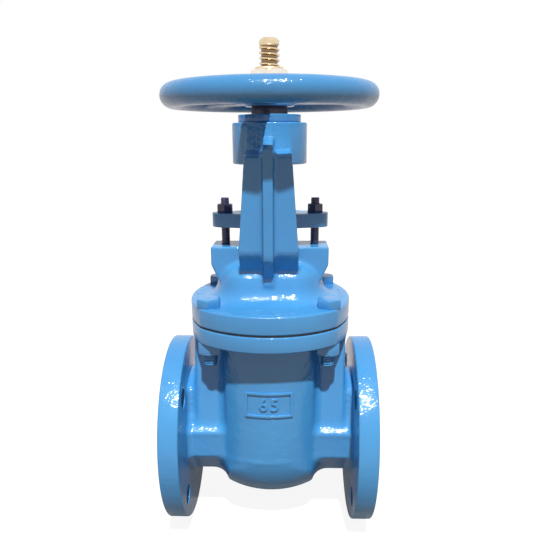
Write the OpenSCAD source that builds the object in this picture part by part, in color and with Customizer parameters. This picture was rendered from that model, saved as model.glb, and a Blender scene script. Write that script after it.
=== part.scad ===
// Flanged outside-screw-and-yoke gate valve, nominal size 65.
// The inlet flange face is the plane x = 0, the pipe runs along +X and the stem along +Z.

/* [Pipe ends] */
// Distance between the two flange faces
face_to_face = 190.5; // [185:0.5:230]
// Diameter of the waterway
port_d = 65; // [50:0.5:68]
// Outside diameter of a pipe flange
flange_d = 177.8; // [172:0.1:215]
// Thickness of a pipe flange
flange_t = 18; // [12:0.5:22]
// Diameter of the circle through the pipe flange bolts
bolt_circle_d = 139.7; // [136:0.1:150]
// Diameter of a pipe flange bolt hole
bolt_hole_d = 19; // [14:0.5:23]
// Wall of the neck behind a pipe flange
neck_wall_t = 9.5; // [7:0.5:14]
// Fillet between a neck and its flange
neck_fillet_r = 7; // [2:0.5:8]

/* [Body] */
// Width of the chest's inside along the pipe
chest_inside_w = 64; // [58:0.5:68]
// Gap between the wedge and the chest wall, across the pipe
chest_side_gap = 9.5; // [6:0.5:14]
// Radius of the chest's upright corners
chest_corner_r = 13; // [8:0.5:20]
// Thickness of the cast wall
wall_t = 9; // [6:0.5:10]
// Gap between the closed wedge and the floor of the bowl
bowl_gap = 15.5; // [8:0.5:24]
// Radius of the bowl's underside, seen along the pipe's side
bowl_r = 60; // [52:0.5:80]
// Half depth of the shoulder under the body flange
shoulder_top_half_d = 22; // [14:0.5:30]
// Gap between a shoulder and the back of the pipe flange
shoulder_gap = 8.5; // [3:0.5:14]
// Width of the raised label frame on the chest
label_w = 43; // [30:0.5:56]
// Height of the raised label frame
label_h = 24; // [14:0.5:36]
// Height of the label frame's centre over the pipe axis
label_z = 47; // [30:0.5:60]
// Width of the label frame's bars
label_bar = 1.8; // [1:0.1:3]
// How far the label frame stands out of the chest
label_relief = 1.2; // [0.6:0.1:2]

/* [Bonnet joint] */
// Diameter of the round joint flanges
joint_d = 159; // [156:0.5:190]
// Gap between the joint flanges' flats and the back of a pipe flange
joint_side_gap = 4.75; // [1:0.25:8]
// Radius of the joint flanges' sides, which bow out along the pipe
joint_side_r = 110; // [90:1:200]
// Thickness of the body's joint flange
body_joint_t = 14; // [10:0.5:20]
// Thickness of the bonnet's joint flange
bonnet_joint_t = 16; // [10:0.5:22]
// How far the raised wedge reaches past the joint face
wedge_park = 11.5; // [4:0.5:14]
// Thickness of the joint gasket
gasket_t = 1.5; // [0.8:0.1:3]
// Gap between a bonnet bolt's nut and the chest
bonnet_nut_gap = 1; // [0.5:0.5:4]
// Distance of a bonnet bolt from the stem, across the pipe
bonnet_bolt_y = 46; // [42:0.5:50]
// Thread diameter of a bonnet bolt
bonnet_bolt_d = 12; // [8:0.5:14]
// Width across the flats of a bonnet bolt's head and nut
bonnet_bolt_af = 19; // [13:0.5:22]
// Height of a bonnet bolt's head
bonnet_head_h = 7.5; // [5:0.5:10]
// Height of a bonnet bolt's nut
bonnet_nut_h = 10.5; // [6:0.5:13]
// Bare thread that stands out below the nut
bonnet_bolt_tail = 11; // [2:0.5:16]

/* [Bonnet and yoke] */
// Radius of the dome
dome_r = 41; // [39:0.5:46]
// Fillet round the foot of the dome
dome_foot_r = 6; // [2:0.5:9]
// Outside diameter of the stuffing box
stuffing_d = 48; // [44:0.5:60]
// Height of the stuffing box over the bonnet's joint flange
stuffing_h = 46.5; // [42:0.5:56]
// Diameter of the packing chamber
packing_d = 33; // [28:0.5:36]
// Depth of the packing chamber
packing_depth = 29; // [24:0.5:30]
// How far an ear reaches past its gland stud
ear_margin = 12; // [8:0.5:16]
// Depth of an ear across the pipe
ear_w = 38; // [24:0.5:40]
// Height of an ear's upright end
ear_end_h = 16; // [12:0.5:20]
// Half distance between the outer faces of the yoke arms
arm_out_y = 45; // [43:0.5:56]
// Thickness of a yoke arm
arm_t = 9; // [6:0.5:12]
// Width of a yoke arm at its foot
arm_foot_w = 50.5; // [40:0.5:60]
// Width of a yoke arm at the head
arm_head_w = 38; // [26:0.5:46]
// Width of the rib down an arm
rib_w = 8.5; // [5:0.5:14]
// How far the rib stands out of the arm
rib_relief = 7; // [3:0.5:10]
// Diameter of the yoke head
head_d = 63.8; // [60:0.1:76]
// Height of the yoke head's underside over the bonnet's joint flange
yoke_h = 116.2; // [108:0.1:136]
// Height of the yoke head itself
head_h = 33.3; // [30:0.1:44]

/* [Gland] */
// Distance of a gland stud from the stem
gland_stud_x = 40; // [38:0.5:42]
// Thread diameter of a gland stud
gland_stud_d = 8; // [6:0.5:10]
// Width across the flats of a gland nut
gland_nut_af = 13; // [10:0.5:17]
// Height of a gland nut
gland_nut_h = 7.5; // [4:0.5:9]
// Bare thread that stands out over the gland nut
gland_stud_tail = 5.5; // [1:0.5:12]
// Gap between the stuffing box and the gland flange
gland_gap = 16; // [11:0.5:22]
// Thickness of the gland flange
gland_t = 12; // [8:0.5:15]
// Diameter of the gland flange's round middle
gland_mid_d = 44; // [38:0.5:50]
// Diameter of the gland flange's round ends
gland_end_d = 23; // [18:0.5:26]

/* [Stem and yoke nut] */
// Outside diameter of the stem
stem_d = 17; // [14:0.1:20]
// How far the closed stem stands out of the yoke nut
stem_reach = 22; // [6:0.5:50]
// Length of the smooth end of the stem
stem_end_l = 5; // [2:0.5:8]
// Radial gap between a turning or sliding shaft and its bore
running_gap = 0.05; // [0.01:0.01:0.1]
// Diameter of the yoke nut's lower journal
nut_journal_d = 38; // [32:0.5:42]
// Diameter of the yoke nut's thrust collar
nut_collar_d = 47; // [44:0.5:52]
// Diameter of the yoke nut's neck, under the wheel
nut_neck_d = 30.8; // [28:0.1:34]
// Diameter of the yoke nut's seat in the wheel
nut_seat_d = 24; // [22:0.5:26]
// Diameter of the retainer that screws into the yoke head
retainer_d = 53.4; // [51:0.1:60]
// Thickness of the retainer's rim
retainer_t = 6.5; // [4:0.5:9]

/* [Handwheel] */
// Outside diameter of the handwheel
wheel_d = 182.8; // [150:0.2:230]
// Diameter of the rim's round section
rim_d = 19.8; // [12:0.2:22]
// Gap between the retainer and the wheel's hub
wheel_gap = 6.4; // [2:0.1:14]
// Height of the rim's middle over the hub's underside
rim_rise = 8.3; // [4:0.1:20]
// Number of spokes
spokes = 3; // [3:1:6]
// Direction of the first spoke, counter-clockwise from +X, in degrees
spoke_turn = -104.5; // [-180:0.5:180]
// Width of a spoke
spoke_w = 22; // [10:0.5:24]
// Thickness of a spoke
spoke_t = 10; // [6:0.5:11]
// Diameter of the wheel's hub
hub_d = 42; // [36:0.5:48]
// Height of the wheel's hub
hub_h = 19; // [14:0.5:24]
// Height of the wheel nut
wheel_nut_h = 9.5; // [6:0.5:12]
// Width across the flats of the wheel nut
wheel_nut_af = 30; // [28:0.5:36]
// Width of the wheel key
key_w = 6; // [4:0.5:7]
// Height of the wheel key
key_h = 5; // [4:0.5:6]
// How deep the key sits in the yoke nut
key_sink = 1.8; // [1:0.1:2.2]

/* [Wedge and seats] */
// Slope of each seat from the upright
wedge_angle = 5; // [3:0.5:8]
// Thickness of the wedge on the pipe axis
wedge_t = 28; // [22:0.5:32]
// Width of the sealing faces
seat_face_w = 6; // [4:0.5:7]
// Gap between a seat and the closed wedge
seat_gap = 0.3; // [0.1:0.1:0.6]
// Thickness of a seat ring
seat_ring_t = 10; // [7:0.5:12]
// Thickness of a facing ring on the wedge
facing_t = 3; // [2:0.5:4]
// Diameter of the stem's T-head
tee_d = 22; // [18:0.5:24]
// Height of the stem's T-head
tee_h = 9; // [6:0.5:12]

/* [Hidden] */
$fn = 64;
eps = 0.01;
fit_gap = 0.03;
// How far a cutting shape runs past the face that it cuts
over = 1;

blue = [0.20, 0.49, 0.78];
dark_blue = [0.11, 0.15, 0.25];
brass = [0.80, 0.66, 0.38];
graphite = [0.16, 0.16, 0.17];
iron = [0.35, 0.36, 0.38];

mid_x = face_to_face / 2;
port_r = port_d / 2;
flange_r = flange_d / 2;
neck_r = port_r + neck_wall_t;
flange_back = mid_x - flange_t;
bolt_clear = 0.75;
drill_turn = 45;

// The wedge rises until its lower edge clears the waterway.
seat_r = port_r + seat_face_w;
lift = seat_r + port_r + 1;
tee_neck_d = stem_d - 4;
tee_floor = 3;
tee_cover = 6;
tee_z = seat_r + tee_floor;
wedge_top_z = tee_z + tee_h + tee_cover;
joint_z = wedge_top_z + lift - wedge_park;

chest_w = chest_inside_w + 2 * wall_t;
chest_d = 2 * (seat_r + chest_side_gap + wall_t);
bowl_drop = seat_r + bowl_gap + wall_t;
shoulder_l = 2 * (flange_back - shoulder_gap);
joint_w = 2 * (flange_back - joint_side_gap);
body_joint_z = joint_z - body_joint_t;
bonnet_bolt_x = chest_w / 2 + bonnet_nut_gap + bonnet_bolt_af / 2;
bonnet_nut_z = body_joint_z - bonnet_nut_h;

bonnet_z = joint_z + gasket_t;
deck_z = bonnet_z + bonnet_joint_t;
dome_sink = 3;
dome_wall_t = wall_t - 1;
dome_z = deck_z - dome_sink;
cavity_r = dome_r - dome_wall_t;
stuffing_z = deck_z + stuffing_h;
packing_h = 20;
packing_floor_t = 7;
packing_z = stuffing_z - packing_depth;
packing_top_z = packing_z + packing_h;
cavity_roof_z = packing_z - packing_floor_t;
ear_l = 2 * (gland_stud_x + ear_margin);
ear_chamfer = 10;
ear_skirt = 22;
ear_root = 26;
ear_z = stuffing_z - ear_end_h;
bend_drop = 0.5;
arm_bend_z = stuffing_z - bend_drop;
head_bite = 5;
rib_root = 2;
rib_top_h = 22;
rib_corner_h = 13.5;
arm_cap_h = 7;
// From the bend down the outside of an arm to the knee and toe of its foot, and down
// its inside to the heel, as [in, down]
foot_knee = [14, 24];
foot_toe = [24, 30];
foot_heel = [13, 20];
head_z = deck_z + yoke_h;
head_top_z = head_z + head_h;

stem_bore_d = stem_d + 2 * running_gap;
follower_lip = 4;
lip_extra_d = 5;
stud_root = 14;
gland_z = stuffing_z + gland_gap;
gland_nut_z = gland_z + gland_t;
stud_top_z = gland_nut_z + gland_nut_h + gland_stud_tail;

thrust_gap = 0.3;
journal_h = 13.3;
collar_z = head_z + journal_h;
collar_h = 11;
plug_z = collar_z + collar_h + 2 * thrust_gap;
collar_bore_d = nut_collar_d + 2;
seat_tail = 2;
hub_z = head_top_z + retainer_t + wheel_gap;
wheel_z = hub_z + rim_rise;
rim_mid_r = (wheel_d - rim_d) / 2;
spoke_bite = 6;
spoke_drop = 1;
seat_end_z = hub_z + hub_h + wheel_nut_h + seat_tail;
stem_tip_z = seat_end_z + stem_reach;

module half_turn_x(side) {
    mirror([side < 0 ? 1 : 0, 0, 0]) children();
}

// A cylinder along +X from x = start
module bar_x(start, length, r) {
    translate([start, 0, 0]) rotate([0, 90, 0]) cylinder(h = length, r = r);
}

module rounded_rect(w, d, r) {
    square([w - 2 * r, d], center = true);
    square([w, d - 2 * r], center = true);
    for (x = [-1, 1], y = [-1, 1])
        translate([x * (w / 2 - r), y * (d / 2 - r)]) circle(r);
}

// A profile drawn in (y, z), extruded along X about the stem
module across_x(length) {
    rotate([90, 0, 90]) linear_extrude(length, center = true) children();
}

// A profile drawn in (x, z), extruded along Y about the stem
module across_y(length) {
    rotate([90, 0, 0]) linear_extrude(length, center = true) children();
}

module hexagon(af, h) {
    rotate([0, 0, 30]) cylinder(h = h, r = af / sqrt(3), $fn = 6);
}

// A quarter-round fillet ring standing on z = 0 round a post of radius r
module foot_fillet(post_r, fillet_r) {
    rotate_extrude() difference() {
        translate([post_r - over, -over]) square([fillet_r + over, fillet_r + over]);
        translate([post_r + fillet_r, fillet_r]) circle(fillet_r);
        translate([post_r + fillet_r - eps, -2 * over]) square([2, fillet_r + 3 * over]);
    }
}

// ---- body ----

// The chest and bowl: a rounded upright box with an underside that is round both ways
module chest(w, d, r, drop, sweep_r, top) {
    round_r = d / 2;
    intersection() {
        translate([0, 0, -drop - over]) linear_extrude(top + drop + over)
            rounded_rect(w, d, r);
        across_x(w + 2 * over) {
            translate([0, round_r - drop]) circle(round_r);
            translate([-round_r, round_r - drop]) square([d, top + drop]);
        }
        across_y(d + 2 * over) {
            translate([0, sweep_r - drop]) circle(sweep_r);
            translate([-sweep_r, sweep_r - drop]) square([2 * sweep_r, top + drop]);
        }
    }
}

module joint_plan(inset = 0) {
    side_r = joint_side_r - inset;
    intersection() {
        circle(r = joint_d / 2 - inset, $fn = 96);
        translate([joint_w / 2 - joint_side_r, 0]) circle(r = side_r, $fn = 96);
        translate([joint_side_r - joint_w / 2, 0]) circle(r = side_r, $fn = 96);
    }
}

// The neck's section: a round tube under a tapering shoulder
module shoulder_section() {
    top = body_joint_z;
    reach = sqrt(pow(shoulder_top_half_d, 2) + pow(top, 2));
    lean = atan(shoulder_top_half_d / top) + acos(neck_r / reach);
    circle(neck_r);
    polygon([
        [neck_r * sin(lean), neck_r * cos(lean)], [shoulder_top_half_d, top],
        [-shoulder_top_half_d, top], [-neck_r * sin(lean), neck_r * cos(lean)],
        [0, 0]
    ]);
}

// The fillet that spreads a neck onto the back of its pipe flange
module neck_flare() {
    intersection() {
        translate([flange_back, 0, 0]) rotate([0, -90, 0]) foot_fillet(neck_r, neck_fillet_r);
        bar_x(0, flange_back, flange_r);
    }
}

module label_frame() {
    translate([0, -chest_d / 2, label_z]) difference() {
        cube([label_w, 2 * label_relief, label_h], center = true);
        cube([label_w - 2 * label_bar, 4 * label_relief, label_h - 2 * label_bar],
             center = true);
    }
}

// The inclined pocket of one seat ring, from its face to its back
module seat_pocket(r, from, to) {
    rotate([0, wedge_angle, 0]) bar_x(from, to - from, r);
}

module body_outside() {
    bar_x(-flange_back, 2 * flange_back, neck_r);
    across_x(shoulder_l) shoulder_section();
    for (side = [-1, 1]) half_turn_x(side) neck_flare();
    chest(chest_w, chest_d, chest_corner_r, bowl_drop, bowl_r, joint_z - 2 * over);
    translate([0, 0, body_joint_z]) linear_extrude(body_joint_t) joint_plan();
    label_frame();
}

module body_inside() {
    inner_r = chest_corner_r - wall_t / 2;
    difference() {
        chest(chest_w - 2 * wall_t, chest_d - 2 * wall_t, inner_r,
              bowl_drop - wall_t, bowl_r - wall_t, joint_z + 2 * over);
        for (side = [-1, 1]) half_turn_x(side)
            seat_pocket(seat_r + wall_t / 2, wedge_t / 2 + seat_gap + facing_t, chest_w);
    }
}

// One pipe flange of the casting. It is a node of its own, so that its bolt holes and
// the space behind it stay open
module pipe_flange(side) {
    color(blue) translate([mid_x, 0, 0]) half_turn_x(side) difference() {
        bar_x(flange_back, flange_t, flange_r);
        bar_x(flange_back - over, flange_t + 2 * over, port_r);
        for (a = [0 : 90 : 270]) rotate([drill_turn + a, 0, 0])
            translate([0, 0, bolt_circle_d / 2])
                bar_x(flange_back - over, flange_t + 2 * over, bolt_hole_d / 2);
    }
}

module inlet_flange() { pipe_flange(-1); }
module outlet_flange() { pipe_flange(1); }

module bonnet_bolt_places() {
    for (x = [-1, 1], y = [-1, 1])
        translate([x * bonnet_bolt_x, y * bonnet_bolt_y, 0]) children();
}

module body() {
    color(blue) translate([mid_x, 0, 0]) difference() {
        body_outside();
        body_inside();
        bar_x(-mid_x, face_to_face, port_r);
        for (side = [-1, 1]) half_turn_x(side)
            seat_pocket(seat_r + fit_gap, 0, wedge_t / 2 + seat_gap + seat_ring_t);
        bonnet_bolt_places() translate([0, 0, body_joint_z - over])
            cylinder(h = body_joint_t + 2 * over, d = bonnet_bolt_d + 2 * bolt_clear);
    }
}

module seat_ring(side) {
    color(brass) translate([mid_x, 0, 0]) half_turn_x(side) difference() {
        seat_pocket(seat_r, wedge_t / 2 + seat_gap, wedge_t / 2 + seat_gap + seat_ring_t);
        bar_x(0, mid_x, port_r);
    }
}

module inlet_seat_ring() { seat_ring(-1); }
module outlet_seat_ring() { seat_ring(1); }

// ---- bonnet ----

module bonnet_gasket() {
    color(graphite) translate([mid_x, 0, joint_z]) linear_extrude(gasket_t) difference() {
        joint_plan(1);
        rounded_rect(chest_w - 2 * wall_t, chest_d - 2 * wall_t, chest_corner_r - wall_t / 2);
        for (x = [-1, 1], y = [-1, 1]) translate([x * bonnet_bolt_x, y * bonnet_bolt_y])
            circle(d = bonnet_bolt_d + 2 * bolt_clear);
    }
}

module dome_form() {
    translate([0, 0, dome_z]) sphere(r = dome_r, $fn = 96);
    translate([0, 0, deck_z]) foot_fillet(dome_r - 0.2, dome_foot_r);
}

// The two ears that hold the gland studs, seen from the front
module ears() {
    end_x = ear_l / 2;
    skirt_x = end_x - ear_chamfer;
    across_y(ear_w) polygon([
        [-end_x, stuffing_z], [-end_x, ear_z], [-skirt_x, ear_z - ear_skirt],
        [-end_x / 2, ear_z - ear_root], [end_x / 2, ear_z - ear_root],
        [skirt_x, ear_z - ear_skirt], [end_x, ear_z], [end_x, stuffing_z]
    ]);
}

// One arm seen from the side, in (y, z): it stands on the dome, bends upright and
// leans in to the head
module arm_side() {
    out = arm_out_y;
    in = arm_out_y - arm_t;
    root_y = head_d / 2 - head_bite;
    cap_z = head_z + arm_cap_h;
    polygon([
        [root_y, cap_z + 5], [out, cap_z], [out, arm_bend_z],
        [out - foot_knee.x, arm_bend_z - foot_knee.y],
        [out - foot_toe.x, arm_bend_z - foot_toe.y],
        [in - foot_heel.x, arm_bend_z - foot_heel.y], [in, arm_bend_z + 3],
        [in, cap_z - 15], [root_y, cap_z - 6]
    ]);
}

// The rib that runs down the middle of an arm, seen from the side
module rib_side() {
    out = arm_out_y + rib_relief;
    in = arm_out_y - arm_t + rib_root;
    polygon([
        [head_d / 2 - head_bite, head_z + rib_top_h], [head_d / 2, head_z + rib_top_h - 0.5],
        [out, head_z + rib_corner_h], [out, arm_bend_z - 4],
        [out - foot_knee.x, arm_bend_z - foot_knee.y - 5],
        [out - foot_toe.x, arm_bend_z - foot_toe.y - 4], [in, arm_bend_z], [in, head_z]
    ]);
}

// One arm seen from the front, in (x, z)
module arm_front() {
    polygon([
        [-arm_foot_w / 2, dome_z], [arm_foot_w / 2, dome_z],
        [arm_foot_w / 2, arm_bend_z], [arm_head_w / 2, head_z + 12],
        [-arm_head_w / 2, head_z + 12], [-arm_foot_w / 2, arm_bend_z]
    ]);
}

module arm() {
    intersection() {
        across_x(arm_foot_w) arm_side();
        across_y(2 * (arm_out_y + over)) arm_front();
    }
    across_x(rib_w) rib_side();
}

module bonnet() {
    color(blue) translate([mid_x, 0, 0]) difference() {
        union() {
            translate([0, 0, bonnet_z]) linear_extrude(bonnet_joint_t) joint_plan();
            intersection() {
                dome_form();
                translate([0, 0, bonnet_z]) cylinder(h = head_h + dome_r, d = joint_w);
            }
            translate([0, 0, dome_z]) cylinder(h = stuffing_z - dome_z, d = stuffing_d);
            ears();
            arm();
            mirror([0, 1, 0]) arm();
            translate([0, 0, head_z]) cylinder(h = head_h, d = head_d);
        }
        bonnet_cavity();
        translate([0, 0, packing_z]) cylinder(h = packing_depth + over, d = packing_d);
        translate([0, 0, dome_z]) cylinder(h = packing_z - dome_z + over, d = stem_bore_d);
        head_bores();
        gland_stud_holes();
        bonnet_bolt_places() translate([0, 0, bonnet_z - over])
            cylinder(h = bonnet_joint_t + 2 * over, d = bonnet_bolt_d + 2 * bolt_clear);
    }
}

module bonnet_cavity() {
    intersection() {
        union() {
            translate([0, 0, dome_z]) sphere(r = cavity_r);
            translate([0, 0, bonnet_z - over])
                cylinder(h = dome_z - bonnet_z + over, r = cavity_r);
        }
        translate([0, 0, bonnet_z - over])
            cylinder(h = cavity_roof_z - bonnet_z + over, r = dome_r);
    }
}

module head_bores() {
    translate([0, 0, head_z - over])
        cylinder(h = head_h + 2 * over, d = nut_journal_d + 2 * running_gap);
    translate([0, 0, collar_z]) cylinder(h = head_h, d = collar_bore_d);
}

module gland_stud_holes() {
    for (x = [-1, 1]) translate([x * gland_stud_x, 0, stuffing_z - stud_root])
        cylinder(h = stud_root + over, d = gland_stud_d + 2 * fit_gap);
}

// ---- gland ----

module packing() {
    color(graphite) translate([mid_x, 0, packing_z]) difference() {
        cylinder(h = packing_h, d = packing_d - 2 * fit_gap);
        translate([0, 0, -over]) cylinder(h = packing_h + 2 * over, d = stem_bore_d);
    }
}

module gland_follower() {
    lip_z = gland_z - follower_lip;
    color(brass) translate([mid_x, 0, 0]) difference() {
        union() {
            translate([0, 0, packing_top_z])
                cylinder(h = gland_z - packing_top_z, d = packing_d - 2 * running_gap);
            translate([0, 0, lip_z]) cylinder(h = follower_lip, d = packing_d + lip_extra_d);
        }
        translate([0, 0, packing_top_z - over])
            cylinder(h = gland_z - packing_top_z + 2 * over, d = stem_bore_d);
    }
}

// A two-bolt flange: a round middle and two round ends, joined by straight sides that
// lie a little inside the common tangents
module gland_blank() {
    tuck = 0.995;
    mid_r = tuck * gland_mid_d / 2;
    end_r = tuck * gland_end_d / 2;
    s = (mid_r - end_r) / gland_stud_x;
    c = sqrt(1 - s * s);
    tip_x = gland_stud_x + end_r * s;
    cylinder(h = gland_t, d = gland_mid_d);
    for (x = [-1, 1]) translate([x * gland_stud_x, 0, 0]) cylinder(h = gland_t, d = gland_end_d);
    linear_extrude(gland_t) polygon([
        [mid_r * s, mid_r * c], [tip_x, end_r * c], [tip_x, -end_r * c],
        [mid_r * s, -mid_r * c], [-mid_r * s, -mid_r * c], [-tip_x, -end_r * c],
        [-tip_x, end_r * c], [-mid_r * s, mid_r * c]
    ]);
}

module gland_flange() {
    color(blue) translate([mid_x, 0, gland_z]) difference() {
        gland_blank();
        translate([0, 0, -over]) cylinder(h = gland_t + 2 * over, d = stem_d + 3);
        for (x = [-1, 1]) translate([x * gland_stud_x, 0, -over])
            cylinder(h = gland_t + 2 * over, d = gland_stud_d + 1);
    }
}

module gland_stud(side) {
    root_z = stuffing_z - stud_root;
    chamfer = gland_stud_d / 8;
    shank_h = stud_top_z - root_z - chamfer;
    color(dark_blue) translate([mid_x + side * gland_stud_x, 0, root_z]) {
        cylinder(h = shank_h, d = gland_stud_d);
        translate([0, 0, shank_h])
            cylinder(h = chamfer, d1 = gland_stud_d, d2 = gland_stud_d - 1.6 * chamfer);
    }
}

module gland_stud_left() { gland_stud(-1); }
module gland_stud_right() { gland_stud(1); }

// A hexagon with its corners turned off at one end or both
module turned_hexagon(af, h, low, high) {
    drop = af / 12;
    wide_d = 1.3 * af;
    low_h = low ? drop : 0;
    high_h = high ? drop : 0;
    intersection() {
        hexagon(af, h);
        union() {
            if (low) cylinder(h = drop, d1 = af, d2 = wide_d);
            translate([0, 0, low_h]) cylinder(h = h - low_h - high_h, d = wide_d);
            if (high) translate([0, 0, h - drop]) cylinder(h = drop, d1 = wide_d, d2 = af);
        }
    }
}

module gland_nut(side) {
    color(dark_blue) translate([mid_x + side * gland_stud_x, 0, gland_nut_z])
        difference() {
            turned_hexagon(gland_nut_af, gland_nut_h, false, true);
            translate([0, 0, -over])
                cylinder(h = gland_nut_h + 2 * over, d = gland_stud_d + 2 * fit_gap);
        }
}

module gland_nut_left() { gland_nut(-1); }
module gland_nut_right() { gland_nut(1); }

// ---- bonnet bolts ----

module bonnet_bolt(x, y) {
    chamfer = bonnet_bolt_d / 12;
    tip_z = bonnet_nut_z - bonnet_bolt_tail;
    color(blue) translate([mid_x + x * bonnet_bolt_x, y * bonnet_bolt_y, 0]) {
        translate([0, 0, deck_z]) turned_hexagon(bonnet_bolt_af, bonnet_head_h, false, true);
        translate([0, 0, tip_z + chamfer])
            cylinder(h = deck_z - tip_z, d = bonnet_bolt_d);
        translate([0, 0, tip_z])
            cylinder(h = chamfer, d1 = bonnet_bolt_d - 2 * chamfer, d2 = bonnet_bolt_d);
    }
}

module bonnet_bolt_front_left() { bonnet_bolt(-1, -1); }
module bonnet_bolt_front_right() { bonnet_bolt(1, -1); }
module bonnet_bolt_back_left() { bonnet_bolt(-1, 1); }
module bonnet_bolt_back_right() { bonnet_bolt(1, 1); }

module bonnet_nut(x, y) {
    color(blue) translate([mid_x + x * bonnet_bolt_x, y * bonnet_bolt_y, bonnet_nut_z])
    difference() {
        turned_hexagon(bonnet_bolt_af, bonnet_nut_h, true, false);
        translate([0, 0, -over])
            cylinder(h = bonnet_nut_h + 2 * over, d = bonnet_bolt_d + 2 * fit_gap);
    }
}

module bonnet_nut_front_left() { bonnet_nut(-1, -1); }
module bonnet_nut_front_right() { bonnet_nut(1, -1); }
module bonnet_nut_back_left() { bonnet_nut(-1, 1); }
module bonnet_nut_back_right() { bonnet_nut(1, 1); }

// ---- yoke nut and wheel ----

module yoke_nut_retainer() {
    color(blue) translate([mid_x, 0, 0]) difference() {
        union() {
            translate([0, 0, plug_z])
                cylinder(h = head_top_z - plug_z + over, d = collar_bore_d - 2 * fit_gap);
            translate([0, 0, head_top_z]) cylinder(h = retainer_t, d = retainer_d);
        }
        translate([0, 0, plug_z - over])
            cylinder(h = head_h + retainer_t, d = nut_neck_d + 2 * running_gap);
    }
}

module yoke_nut() {
    low_z = head_z + 0.5;
    color(brass) translate([mid_x, 0, 0]) difference() {
        union() {
            translate([0, 0, low_z])
                cylinder(h = collar_z + over - low_z, d = nut_journal_d);
            translate([0, 0, collar_z + thrust_gap]) cylinder(h = collar_h, d = nut_collar_d);
            translate([0, 0, collar_z + over])
                cylinder(h = hub_z - collar_z - over, d = nut_neck_d);
            translate([0, 0, hub_z - over])
                cylinder(h = seat_end_z - hub_z + over, d = nut_seat_d);
        }
        translate([0, 0, head_z - over])
            cylinder(h = seat_end_z - head_z + 2 * over, d = stem_bore_d);
        key_slot(hub_h + over);
    }
}

// The slot that the key fills, half in the nut and half in the wheel
module key_slot(height) {
    translate([nut_seat_d / 2 - key_sink, -key_w / 2, hub_z]) cube([key_h, key_w, height]);
}

module handwheel_key() {
    color(iron) translate([mid_x, 0, 0]) key_slot(hub_h);
}

module spoke(angle) {
    root_x = hub_d / 2 - spoke_bite;
    edge_r = spoke_t / 2 - 0.5;
    rotate([0, 0, angle]) translate([root_x, 0, wheel_z - spoke_drop])
        rotate([90, 0, 90]) linear_extrude(rim_mid_r - root_x)
            rounded_rect(spoke_w, spoke_t, edge_r);
}

module handwheel() {
    color(blue) translate([mid_x, 0, 0]) difference() {
        union() {
            translate([0, 0, wheel_z]) rotate_extrude($fn = 96)
                translate([rim_mid_r, 0]) circle(d = rim_d);
            translate([0, 0, hub_z]) cylinder(h = hub_h, d = hub_d);
            for (i = [0 : spokes - 1]) spoke(i * 360 / spokes + spoke_turn);
        }
        translate([0, 0, hub_z - over])
            cylinder(h = hub_h + 2 * over, d = nut_seat_d + 2 * fit_gap);
        key_slot(hub_h + over);
    }
}

module handwheel_nut() {
    color(brass) translate([mid_x, 0, hub_z + hub_h]) difference() {
        turned_hexagon(wheel_nut_af, wheel_nut_h, false, true);
        translate([0, 0, -over])
            cylinder(h = wheel_nut_h + 2 * over, d = nut_seat_d + 2 * fit_gap);
    }
}

// ---- stem and wedge ----

module stem() {
    chamfer = 2;
    end_d = stem_d - 0.2;
    shank_z = wedge_top_z + over;
    color(brass) translate([mid_x, 0, 0]) {
        translate([0, 0, tee_z]) cylinder(h = tee_h, d = tee_d);
        translate([0, 0, tee_z + tee_h - over])
            cylinder(h = wedge_top_z - tee_z, d = tee_neck_d);
        translate([0, 0, shank_z]) cylinder(h = stem_tip_z - stem_end_l - shank_z, d = stem_d);
        translate([0, 0, shank_z]) cylinder(h = stem_tip_z - chamfer - shank_z, d = end_d);
        translate([0, 0, stem_tip_z - chamfer])
            cylinder(h = chamfer, d1 = end_d, d2 = end_d - 2 * chamfer);
    }
}

// The space between two planes that lean out by the wedge angle
module wedge_space(half_t, reach) {
    intersection_for (side = [-1, 1]) half_turn_x(side) rotate([0, wedge_angle, 0])
        translate([half_t - 2 * reach, -reach, -reach])
            cube([2 * reach, 2 * reach, 2 * reach]);
}

module tee_slot() {
    slack = 1;
    translate([-tee_d / 2 - slack, -seat_r, tee_z - slack / 2])
        cube([tee_d + 2 * slack, seat_r + tee_d / 2 + slack, tee_h + slack]);
    translate([-tee_neck_d / 2 - slack, -seat_r, tee_z])
        cube([tee_neck_d + 2 * slack, seat_r + tee_neck_d / 2 + slack, wedge_top_z]);
}

module wedge() {
    boss_w = wedge_t + 3;
    boss_d = tee_d + 14;
    boss_root = 12;
    color(iron) translate([mid_x, 0, 0]) difference() {
        union() {
            intersection() {
                bar_x(-wedge_t, 2 * wedge_t, seat_r);
                wedge_space(wedge_t / 2, 3 * seat_r);
            }
            translate([-boss_w / 2, -boss_d / 2, seat_r - boss_root])
                cube([boss_w, boss_d, wedge_top_z - seat_r + boss_root]);
        }
        for (side = [-1, 1]) half_turn_x(side) facing_ring(fit_gap);
        tee_slot();
    }
}

module facing_ring(extra) {
    rotate([0, wedge_angle, 0]) difference() {
        bar_x(wedge_t / 2 - facing_t - extra, facing_t + 2 * extra, seat_r + 4 * extra);
        bar_x(wedge_t / 2 - facing_t - over, facing_t + 2 * over, port_r + 1 - extra);
    }
}

module wedge_facing(side) {
    color(brass) translate([mid_x, 0, 0]) half_turn_x(side) facing_ring(0);
}

module wedge_facing_inlet() { wedge_facing(-1); }
module wedge_facing_outlet() { wedge_facing(1); }

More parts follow.
